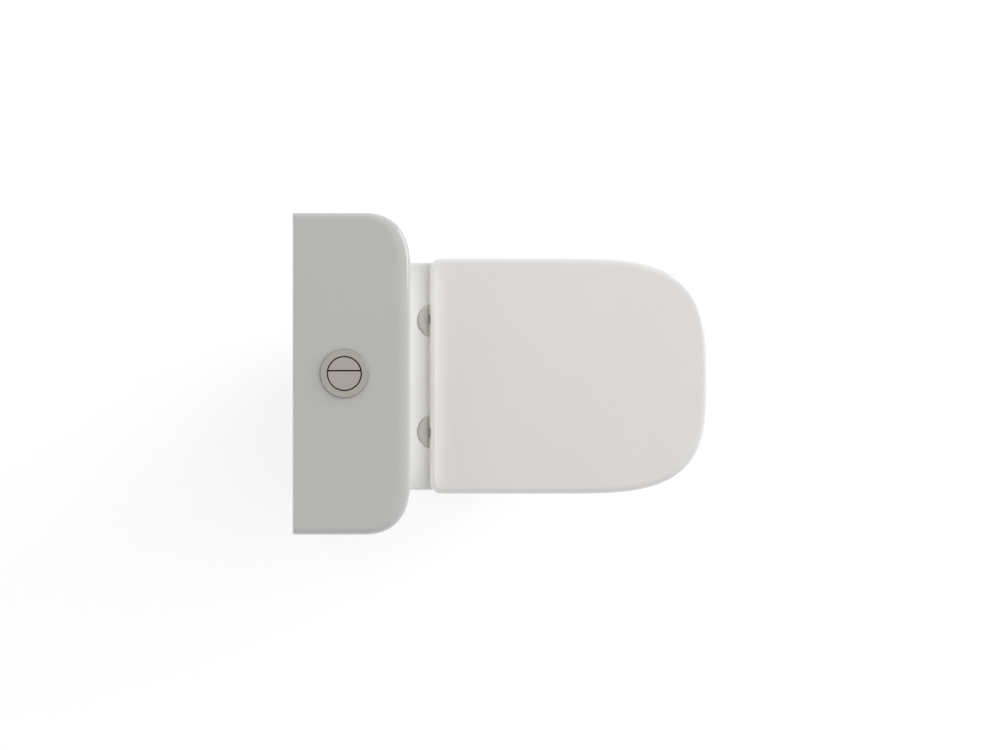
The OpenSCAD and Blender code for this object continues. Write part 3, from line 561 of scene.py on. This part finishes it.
def seat_lid():
    crown = 1.6
    rings = [lid_ring(SKIRT + z, i) for z, i in ((0, 1.4), (0.3, 0.6), (1, 0.1), (2.5, 0), (14, 0))]
    rings += [lid_ring(LID_TOP - crown - along, inward) for inward, along in ease(11, 9, 10)]
    shares = np.linspace(0.96, 0.08, 14)
    rings += [lid_ring(LID_TOP - crown * share ** 2, 11, share) for share in shares]
    form = skin("seat_lid", rings)
    inner = [lid_ring(SKIRT - 2, 4), lid_ring(LID_UNDER - 5, 4), lid_ring(LID_UNDER - 2, 5.2),
             lid_ring(LID_UNDER, 8.5)]
    shape(form, "DIFFERENCE", skin("inner", inner),
          box("rear_cut", (-0.3, y(RING_BACK + 4), (SKIRT - 3) * MM),
              (0.3, y(150), (HINGE[1] - 8.5) * MM)))
    notch = box("notch", ((HINGE_X - 7) * MM, y(HINGE[0]), (SKIRT - 3) * MM),
                ((HINGE_X + 7) * MM, y(168), (HINGE[1] + 9) * MM))
    shape(form, "DIFFERENCE", notch, *mirrored(notch))
    bore = rod("bore", (HINGE_X + 5, *HINGE), (HINGE_X + 30, *HINGE), SPINDLE, 40)
    piece = shape(lid_ear(), "DIFFERENCE", bore)
    return shape(form, "UNION", *mirrored(piece), piece)


def seat_ring():
    outer = d_outline(RING_HALF, RING_FRONT, RING_BACK, NOSE, NOSE_POWER, 3)
    front, back, half = RING_FRONT - 70, RING_BACK + 42, 111
    middle = np.array([0, (front + back) / 2])
    depth, power = (front - back) / 2, 2.4
    away = outer - middle
    reach = (np.abs(away / (half, depth)) ** power).sum(axis=1, keepdims=True) ** (-1 / power)
    inner = middle + away * reach
    width = np.linalg.norm(outer - inner, axis=1, keepdims=True)

    def ring(height, from_outer=None, from_inner=None):
        if from_outer is not None:
            place = outer + (inner - outer) * from_outer / width
        else:
            place = inner + (outer - inner) * from_inner / width
        return at(place, height)

    high_side, low_side = RING_TOP, RING_LOW
    section = [ring(low_side, from_outer=4), ring(low_side + 0.8, from_outer=1.2),
               ring(low_side + 3, from_outer=0.2), ring(low_side + 6, from_outer=0),
               ring(high_side - 9, from_outer=0)]
    section += [ring(high_side - 2.2 - along, from_outer=inward)
                for inward, along in ease(7, 6.8, 7)]
    section += [ring(high_side - 1, from_outer=12), ring(high_side - 0.2, from_outer=20),
                ring(high_side - 0.2, from_inner=22), ring(high_side - 1.6, from_inner=14),
                ring(high_side - 4, from_inner=7.5), ring(high_side - 6.6, from_inner=3.4),
                ring(high_side - 9.6, from_inner=0.9), ring(high_side - 12.6, from_inner=0),
                ring(low_side + 4, from_inner=0), ring(low_side + 1.4, from_inner=0.8),
                ring(low_side + 0.2, from_inner=2.6), ring(low_side, from_inner=5)]
    form = skin("seat_ring", section, closed=True)
    bore = rod("bore", (HINGE_X - 30, *HINGE), (HINGE_X - 5, *HINGE), SPINDLE, 40)
    piece = shape(ring_ear(), "DIFFERENCE", bore)
    return shape(form, "UNION", *mirrored(piece), piece)


def hinge_cover():
    """Domed disc under the hinge post, with a fine chamfer round its edge."""
    profile = [(27.3, 0), (27.3, 1.9), (27.0, 2.5), (26.4, 3.0), (25.2, 3.35), (22, 3.65),
               (16, 3.85), (9, 3.95), (5.1, 4)]
    centre = (HINGE_X * MM, y(DISC_BACK), RIM * MM)
    disc = turned("hinge_cover", profile, centre, around=96)
    return shape(disc, "DIFFERENCE", rod("post_hole", (HINGE_X, HINGE[0], RIM - 5),
                                         (HINGE_X, HINGE[0], RIM + 10), 5.05, 40))


# ---------------------------------------------------------------- finishes

def colour(code):
    """An sRGB hex colour as the linear values that shaders use."""
    parts = [int(code[k:k + 2], 16) / 255 for k in (1, 3, 5)]
    return [p / 12.92 if p <= 0.04045 else ((p + 0.055) / 1.055) ** 2.4 for p in parts] + [1.0]


def node(tree, kind, inputs, **settings):
    """Adds a shader node. inputs holds its sockets' values, or the outputs that feed them."""
    step = tree.nodes.new(kind)
    for key, value in settings.items():
        setattr(step, key, value)
    for key, value in inputs.items():
        socket = step.inputs[key]
        if isinstance(value, bpy.types.NodeSocket):
            tree.links.new(value, socket)
        else:
            socket.default_value = value
    return step


def finish_of(name, **constants):
    """A new material, its tree, its shader with the given constants, and the object's own space."""
    material = bpy.data.materials.new(name)
    material.use_nodes = True
    tree = material.node_tree
    tree.nodes.clear()
    shader = node(tree, "ShaderNodeBsdfPrincipled",
                  {key.replace("_", " "): value for key, value in constants.items()})
    node(tree, "ShaderNodeOutputMaterial", {"Surface": shader.outputs[0]})
    place = node(tree, "ShaderNodeTexCoord", {}).outputs["Object"]
    return material, tree, shader, place


def glazed_china(name, light, shade):
    """Vitreous china, dipped in an opaque white glaze and fired: a deep, wet gloss whose
    reflections waver a little where the glaze pooled, with a dry bare ring of fired clay where it
    stood in the kiln."""
    material, tree, shader, place = finish_of(name, IOR=1.52)
    pooling = node(tree, "ShaderNodeTexNoise",
                   {"Vector": place, "Scale": 1 / (130 * MM), "Detail": 2.0})
    tone = node(tree, "ShaderNodeMix",
                {0: pooling.outputs["Fac"], 6: colour(shade), 7: colour(light)}, data_type="RGBA")
    height = node(tree, "ShaderNodeSeparateXYZ", {0: place}).outputs["Z"]
    bare = node(tree, "ShaderNodeMapRange",
                {"Value": height, "From Min": 0.6 * MM, "From Max": 1.4 * MM,
                 "To Min": 1.0, "To Max": 0.0})
    body = node(tree, "ShaderNodeMix",
                {0: bare.outputs[0], 6: tone.outputs[2], 7: colour("#c9c3b6")}, data_type="RGBA")
    gloss = node(tree, "ShaderNodeMapRange", {"Value": pooling.outputs["Fac"], "From Min": 0.3,
                                              "From Max": 0.7, "To Min": 0.07, "To Max": 0.12})
    rough = node(tree, "ShaderNodeMix", {0: bare.outputs[0], 2: gloss.outputs[0], 3: 0.85})
    # the glaze's slow swells are 24 mm apart and a few hundredths of a millimetre deep
    swell = node(tree, "ShaderNodeTexNoise", {"Vector": place, "Scale": 1000 / 24, "Detail": 1.0})
    surface = node(tree, "ShaderNodeBump", {"Height": swell.outputs["Fac"], "Strength": 1.0,
                                            "Distance": 0.06 * MM})
    tree.links.new(body.outputs[2], shader.inputs["Base Color"])
    tree.links.new(rough.outputs[0], shader.inputs["Roughness"])
    tree.links.new(surface.outputs[0], shader.inputs["Normal"])
    return material


def pressed_duroplast(name, light, shade):
    """Urea duroplast, hot pressed in a polished mould: whiter and tighter than china, with a faint
    long ripple where the thick parts shrank as they cured."""
    material, tree, shader, place = finish_of(name, IOR=1.54)
    flow = node(tree, "ShaderNodeTexNoise", {"Vector": place, "Scale": 1000 / 90, "Detail": 1.0})
    tone = node(tree, "ShaderNodeMix", {0: flow.outputs["Fac"], 6: colour(shade), 7: colour(light)},
                data_type="RGBA")
    gloss = node(tree, "ShaderNodeMapRange", {"Value": flow.outputs["Fac"], "From Min": 0.3,
                                              "From Max": 0.7, "To Min": 0.11, "To Max": 0.16})
    shrink = node(tree, "ShaderNodeTexNoise", {"Vector": place, "Scale": 1000 / 45, "Detail": 0.0})
    surface = node(tree, "ShaderNodeBump", {"Height": shrink.outputs["Fac"], "Strength": 1.0,
                                            "Distance": 0.04 * MM})
    tree.links.new(tone.outputs[2], shader.inputs["Base Color"])
    tree.links.new(gloss.outputs[0], shader.inputs["Roughness"])
    tree.links.new(surface.outputs[0], shader.inputs["Normal"])
    return material


def satin_nickel(name, light, shade, centre=None):
    """Nickel plate over a fine satin finish: a soft grey sheen that smears reflections. Turned
    pieces carry rings about their centre; the others carry short strokes in one direction. Real
    strokes are 0.1 mm apart; they're drawn 0.8 mm apart so that they show."""
    material, tree, shader, place = finish_of(name, Metallic=1.0)
    stroke = 1 / (0.8 * MM)
    if centre:
        away = node(tree, "ShaderNodeVectorMath", {0: place, 1: centre}, operation="SUBTRACT")
        flat = node(tree, "ShaderNodeVectorMath", {0: away.outputs[0], 1: (1, 1, 0)},
                    operation="MULTIPLY")
        radius = node(tree, "ShaderNodeVectorMath", {0: flat.outputs[0]}, operation="LENGTH")
        strokes = node(tree, "ShaderNodeTexNoise",
                       {"W": radius.outputs["Value"], "Scale": stroke, "Detail": 2.0},
                       noise_dimensions="1D")
    else:
        drawn = node(tree, "ShaderNodeVectorMath",
                     {0: place, 1: (1 / (14 * MM), stroke, stroke)}, operation="MULTIPLY")
        strokes = node(tree, "ShaderNodeTexNoise",
                       {"Vector": drawn.outputs[0], "Scale": 1.0, "Detail": 2.0})
    tone = node(tree, "ShaderNodeMix",
                {0: strokes.outputs["Fac"], 6: colour(shade), 7: colour(light)}, data_type="RGBA")
    rough = node(tree, "ShaderNodeMapRange", {"Value": strokes.outputs["Fac"], "From Min": 0.3,
                                              "From Max": 0.7, "To Min": 0.3, "To Max": 0.42})
    surface = node(tree, "ShaderNodeBump", {"Height": strokes.outputs["Fac"], "Strength": 1.0,
                                            "Distance": 0.012 * MM})
    tree.links.new(tone.outputs[2], shader.inputs["Base Color"])
    tree.links.new(rough.outputs[0], shader.inputs["Roughness"])
    tree.links.new(surface.outputs[0], shader.inputs["Normal"])
    return material


def turned_metal(name, light, shade, roughness, depth):
    """Bar turned on a lathe and tumbled: fine tool marks along the bar that catch the light, and
    patches where the tumbling dulled it. Marks of 0.3 mm are drawn at 0.9 mm."""
    material, tree, shader, place = finish_of(name, Metallic=1.0)
    patches = node(tree, "ShaderNodeTexNoise", {"Vector": place, "Scale": 1000 / 12, "Detail": 3.0})
    tone = node(tree, "ShaderNodeMix",
                {0: patches.outputs["Fac"], 6: colour(shade), 7: colour(light)}, data_type="RGBA")
    rough = node(tree, "ShaderNodeMapRange",
                 {"Value": patches.outputs["Fac"], "From Min": 0.3, "From Max": 0.7,
                  "To Min": roughness - 0.07, "To Max": roughness + 0.07})
    # the wave's bands are a full turn apart at twenty times its scale
    marks = node(tree, "ShaderNodeTexWave",
                 {"Vector": place, "Scale": ROUND / 20 / (0.9 * MM), "Distortion": 0.6},
                 bands_direction="Z")
    surface = node(tree, "ShaderNodeBump", {"Height": marks.outputs["Fac"], "Strength": 1.0,
                                            "Distance": depth * MM})
    tree.links.new(tone.outputs[2], shader.inputs["Base Color"])
    tree.links.new(rough.outputs[0], shader.inputs["Roughness"])
    tree.links.new(surface.outputs[0], shader.inputs["Normal"])
    return material


def moulded_plastic(name, light, shade, roughness, grain_mm, ior=1.5):
    """Injection moulded plastic from a spark-eroded tool: an even fine grain that breaks up the
    highlight, and cloudy flow marks a few centimetres long."""
    material, tree, shader, place = finish_of(name, IOR=ior)
    flow = node(tree, "ShaderNodeTexNoise", {"Vector": place, "Scale": 1000 / 30, "Detail": 2.0})
    tone = node(tree, "ShaderNodeMix", {0: flow.outputs["Fac"], 6: colour(shade), 7: colour(light)},
                data_type="RGBA")
    grain = node(tree, "ShaderNodeTexNoise",
                 {"Vector": place, "Scale": 1 / (grain_mm * MM), "Detail": 2.0})
    rough = node(tree, "ShaderNodeMapRange",
                 {"Value": grain.outputs["Fac"], "From Min": 0.3, "From Max": 0.7,
                  "To Min": roughness - 0.06, "To Max": roughness + 0.06})
    surface = node(tree, "ShaderNodeBump", {"Height": grain.outputs["Fac"], "Strength": 1.0,
                                            "Distance": 0.02 * MM})
    tree.links.new(tone.outputs[2], shader.inputs["Base Color"])
    tree.links.new(rough.outputs[0], shader.inputs["Roughness"])
    tree.links.new(surface.outputs[0], shader.inputs["Normal"])
    return material


def pressed_rubber(name, light, shade, roughness=0.72):
    """Rubber pressed in a steel mould: dull, with a dusty bloom in patches and a slight pebble."""
    material, tree, shader, place = finish_of(name, IOR=1.5)
    bloom = node(tree, "ShaderNodeTexNoise", {"Vector": place, "Scale": 1000 / 15, "Detail": 4.0})
    dusty = node(tree, "ShaderNodeMapRange", {"Value": bloom.outputs["Fac"], "From Min": 0.45,
                                              "From Max": 0.7, "To Min": 0.0, "To Max": 1.0})
    tone = node(tree, "ShaderNodeMix", {0: dusty.outputs[0], 6: colour(shade), 7: colour(light)},
                data_type="RGBA")
    rough = node(tree, "ShaderNodeMapRange", {"Value": dusty.outputs[0], "To Min": roughness,
                                              "To Max": roughness + 0.15})
    pebble = node(tree, "ShaderNodeTexVoronoi", {"Vector": place, "Scale": 1000 / 1.2})
    surface = node(tree, "ShaderNodeBump", {"Height": pebble.outputs["Distance"], "Strength": 1.0,
                                            "Distance": 0.05 * MM})
    tree.links.new(tone.outputs[2], shader.inputs["Base Color"])
    tree.links.new(rough.outputs[0], shader.inputs["Roughness"])
    tree.links.new(surface.outputs[0], shader.inputs["Normal"])
    return material


finishes = {
    "pan_china": glazed_china("pan_glazed_china", "#d6d5d3", "#d2d1cf"),
    # the cistern and its cover are the same glaze as the pan, given a greyer colour as painted
    # shade for the dimmer light on them
    "cistern_china_painted_shade": glazed_china("cistern_glazed_china_painted_shade", "#c9c9c7", "#c5c5c3"),
    "duroplast": pressed_duroplast("seat_pressed_duroplast", "#ebe9e7", "#e8e6e4"),
    "bezel": satin_nickel("bezel_satin_nickel", "#b4afa9", "#a6a19b",
                          (0, y(BUTTONS[1]), COVER_TOP * MM)),
    # black for the faces in and below the button gaps: plastic colour that also serves as painted
    # shade in the gaps
    "gap": moulded_plastic("button_body_black_painted_shade", "#1c1c1d", "#141415", 0.45, 0.8),
    "button": satin_nickel("button_satin_nickel", "#b6afa8", "#a8a19a"),
    "hinge_metal": satin_nickel("hinge_satin_nickel", "#d1cbc5", "#c3bdb7"),
    "steel": turned_metal("stainless_steel_turned", "#bcbcba", "#a3a3a1", 0.32, 0.01),
    "brass": turned_metal("brass_turned", "#c9a765", "#ab8a4c", 0.34, 0.01),
    "spring_steel": turned_metal("spring_steel_drawn", "#a9a9a8", "#8b8b8a", 0.28, 0.006),
    "rubber": pressed_rubber("black_rubber_pressed", "#47474a", "#232325"),
    "bumper": pressed_rubber("white_bumper_rubber_pressed", "#dcdbd6", "#cfcec8", 0.5),
    "valve_white": moulded_plastic("valve_white_abs_moulded", "#e6e7e6", "#dcdddc", 0.36, 0.9),
    "housing_white": moulded_plastic("damper_white_acetal_moulded", "#e2e2e0", "#d9d9d7",
                                     0.42, 0.8),
    "blue": moulded_plastic("valve_blue_abs_moulded", "#4c6f9c", "#41628d", 0.38, 0.9),
    "nylon": moulded_plastic("grey_nylon_moulded", "#8b8e91", "#7c7f82", 0.5, 1.0, 1.53),
    "caps": moulded_plastic("white_cap_abs_moulded", "#e0e0de", "#d8d8d6", 0.25, 1.0),
}


# ---------------------------------------------------------------- pieces on their bodies

def place_piece(obj, body, finish, stands_for, angle=32):
    """Gives a piece its finish and puts it on its CAD body, in place of the nodes it stands for."""
    obj.data.materials.clear()
    obj.data.materials.append(finishes[finish])
    smooth(obj, angle)
    flats(obj)
    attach(obj, body)
    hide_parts(*stands_for)


fixed, lifted = "pan_and_cistern", "lift_off_lid"
place_piece(pan(), fixed, "pan_china",
            ["pan_deck", "pan_bowl", "pan_sump", "pan_duct", "pan_trap", "pan_skirt"])
# the cistern and its cover take the greyer copy of the china: painted shade
place_piece(cistern(), fixed, "cistern_china_painted_shade", ["cistern"])
place_piece(cistern_cover(), lifted, "cistern_china_painted_shade", ["cistern_lid"])
place_piece(bezel(), lifted, "bezel", ["button_housing"], 50)
place_piece(button("full_button", -1), "full_flush", "button",
            ["full_flush_button"], 50)
place_piece(button("half_button", 1), "half_flush", "button",
            ["half_flush_button"], 50)
for name in ("bezel", "full_button", "half_button"):
    # only the crown and the caps are plated: the rest is bare black plastic, whose black also
    # stands as painted shade in the gaps so they read dark
    mesh = bpy.data.objects[name].data
    mesh.materials.append(finishes["gap"])
    for face in mesh.polygons:
        from_axis = math.hypot(face.center.x, face.center.y - y(BUTTONS[1]))
        inside = from_axis < (BUTTON_HALF + BUTTON_GAP + 0.2) * MM
        if face.center.z < (COVER_TOP - 0.05) * MM or (inside and face.normal.z < 0.3):
            face.material_index = 1
for name, across, body in (("full_flush_coil", ROD_X[0], "full_flush"),
                           ("half_flush_coil", ROD_X[1], "half_flush")):
    coil = smooth(return_spring(name, across), 50)
    coil.data.materials.append(finishes["spring_steel"])
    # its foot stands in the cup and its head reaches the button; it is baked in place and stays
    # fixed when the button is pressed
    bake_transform(coil)
    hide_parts(name.replace("coil", "spring"))
place_piece(seat_lid(), "lid", "duroplast", ["seat_lid"])
place_piece(seat_ring(), "ring", "duroplast", ["seat_ring"])
right_disc = hinge_cover()
for side, disc in zip(("right", "left"), (right_disc, *mirrored(right_disc))):
    disc.name = "hinge_cover_" + side
    place_piece(disc, fixed, "hinge_metal", ["hinge_discs"], 40)


def dress(names, finish, edge):
    """Gives CAD pieces their finish, and eases their edges by edge in mm."""
    for name in names.split():
        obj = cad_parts[name]
        for each in obj.material_slots:
            each.material = finishes[finish]
        weld = obj.modifiers.new("joined", "WELD")
        weld.merge_threshold = 0.01 * MM
        if edge:
            bevel(obj, edge, 2)
        flats(obj)


dress("floor_brackets fill_valve_nut flush_valve_nut fill_valve_head", "nylon", 0.8)
dress("full_flush_rod half_flush_rod fill_valve_lever", "nylon", 0.4)
dress("screw_caps", "caps", 0.6)
dress("doughnut_seal bolt_seals hinge_plugs", "rubber", 1.0)
dress("flush_valve_washer fill_valve_washer flush_seal", "rubber", 0.5)
dress("side_screws hinge_posts hinge_studs hinge_spindles hinge_cones lever_pin float_link",
      "steel", 0.3)
dress("cistern_bolts wing_nuts bolt_washers fill_valve_tail", "brass", 0.4)
dress("flush_valve_base flush_valve_tower overflow_tube fill_valve_column fill_float button_nut",
      "valve_white", 0.6)
dress("flush_valve_head", "blue", 0.6)
dress("hinge_housings", "housing_white", 0.8)
dress("seat_bumpers lid_bumpers", "bumper", 1.0)


# ---------------------------------------------------------------- studio

def studio_floor():
    """A seamless white card: bright enough to read as plain white all round."""
    corners = [(-40, -40), (40, -40), (40, 40), (-40, 40)]
    floor = skin("studio_floor", [[(*corner_of, z) for corner_of in corners]
                                  for z in (-0.02, -0.0002)])
    material, tree, shader, place = finish_of("white_card", Roughness=0.9)
    fibre = node(tree, "ShaderNodeTexNoise", {"Vector": place, "Scale": 1000 / 6, "Detail": 2.0})
    tone = node(tree, "ShaderNodeMix",
                {0: fibre.outputs["Fac"], 6: colour("#f4f4f4"), 7: colour("#f7f7f7")},
                data_type="RGBA")
    tree.links.new(tone.outputs[2], shader.inputs["Base Color"])
    shader.inputs["Emission Color"].default_value = colour("#ffffff")
    shader.inputs["Emission Strength"].default_value = 0.31
    floor.data.materials.append(material)


def lamp(name, place, aim, size, power):
    light = bpy.data.lights.new(name, "AREA")
    light.shape = "RECTANGLE"
    light.size, light.size_y = size
    light.energy = power
    obj = bpy.data.objects.new(name, light)
    bpy.context.scene.collection.objects.link(obj)
    obj.location = place
    obj.rotation_euler = (Vector(aim) - Vector(place)).to_track_quat("-Z", "Y").to_euler()
    return obj


def studio():
    scene = bpy.context.scene
    # a bright ceiling over dimmer walls, a little brighter to the right and in front
    world = bpy.data.worlds.new("studio_walls")
    world.use_nodes = True
    tree = world.node_tree
    way = node(tree, "ShaderNodeTexCoord", {}).outputs["Generated"]
    lean = node(tree, "ShaderNodeVectorMath", {0: way, 1: (0.20, -0.10, 0)},
                operation="DOT_PRODUCT")
    rise = node(tree, "ShaderNodeSeparateXYZ", {0: way}).outputs["Z"]
    steps = node(tree, "ShaderNodeValToRGB", {"Fac": rise})
    for place, level in ((0.08, 1.0), (0.22, 0.72), (0.4, 0.44), (0.6, 0.62), (1.0, 0.98)):
        mark = steps.color_ramp.elements.new(place)
        mark.color = (level, level, level, 1)
    steps.color_ramp.elements[0].color = (1, 1, 1, 1)
    glow = node(tree, "ShaderNodeMath", {0: steps.outputs["Color"], 1: lean.outputs["Value"]},
                operation="ADD")
    tree.links.new(glow.outputs[0], tree.nodes["Background"].inputs["Strength"])
    tree.nodes["Background"].inputs["Color"].default_value = colour("#ffffff")
    scene.world = world
    lamp("front_panel", (1.1, -2.3, 1.1), (0, -0.1, 0.5), (1.6, 0.9), 22)
    # a small card that throws light down between the cistern and the seat
    fill = lamp("deck_fill", (0, y(160), 0.79), (0, y(170), 0.4), (0.36, 0.03), 0.064)
    fill.data.spread = math.radians(22)
    fill.visible_camera = fill.visible_glossy = False
    scene.view_settings.view_transform = "Standard"
    camera = bpy.data.objects.new("camera", bpy.data.cameras.new("camera"))
    scene.collection.objects.link(camera)
    camera.location = (-0.014, 0.3106, 2.185)
    camera.rotation_euler = (0, 0, -math.pi / 2)
    camera.data.sensor_width = 36
    camera.data.lens = 40.64
    camera.data.shift_x, camera.data.shift_y = 0.20, 0.01
    camera.data.clip_end = 200
    scene.camera = camera


studio_floor()
studio()
